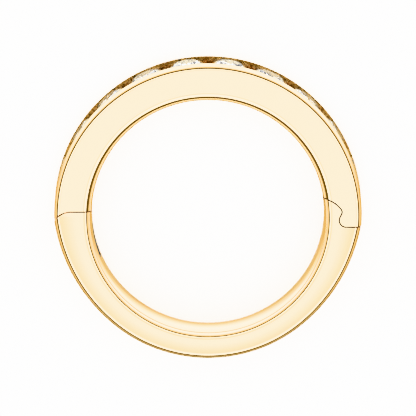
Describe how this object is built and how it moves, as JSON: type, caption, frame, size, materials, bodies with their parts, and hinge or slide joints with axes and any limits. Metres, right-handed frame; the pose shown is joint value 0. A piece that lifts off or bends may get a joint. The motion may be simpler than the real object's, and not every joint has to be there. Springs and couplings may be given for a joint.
{
  "type": "hinged channel set band",
  "caption": "Polished yellow gold finger ring: its upper half holds a channel of round brilliants between flat rims, and its palm half opens on a hinge and snaps shut.",
  "frame": {"origin": "on the axis of the finger hole, on the surface that the ring's side face rests on", "axes": "+Z along the finger axis, up from the side face the ring lies on; -Y towards the row of stones, +Y towards the palm side, +X towards the hinge"},
  "size_m": [0.023, 0.0224, 0.0038],
  "materials": {
    "yellow_gold": "mirror polished yellow gold",
    "stone": "polished facets, colourless"
  },
  "bodies": {
    "crown": {"crown_band": "yellow_gold", "stone_01": "stone", "stone_02": "stone", "stone_03": "stone", "stone_04": "stone", "stone_05": "stone", "stone_06": "stone", "stone_07": "stone", "stone_08": "stone", "stone_09": "stone", "stone_10": "stone"},
    "palm_half": {"shank": "yellow_gold", "hinge_pin": "yellow_gold"}
  },
  "joints": [
    {"name": "shank_hinge", "type": "hinge", "parent": "crown", "child": "palm_half", "pos_m": [0.0102, 0.0012, 0.0019], "axis": [0, 0, -1], "range_deg": [0, 85]}
  ]
}
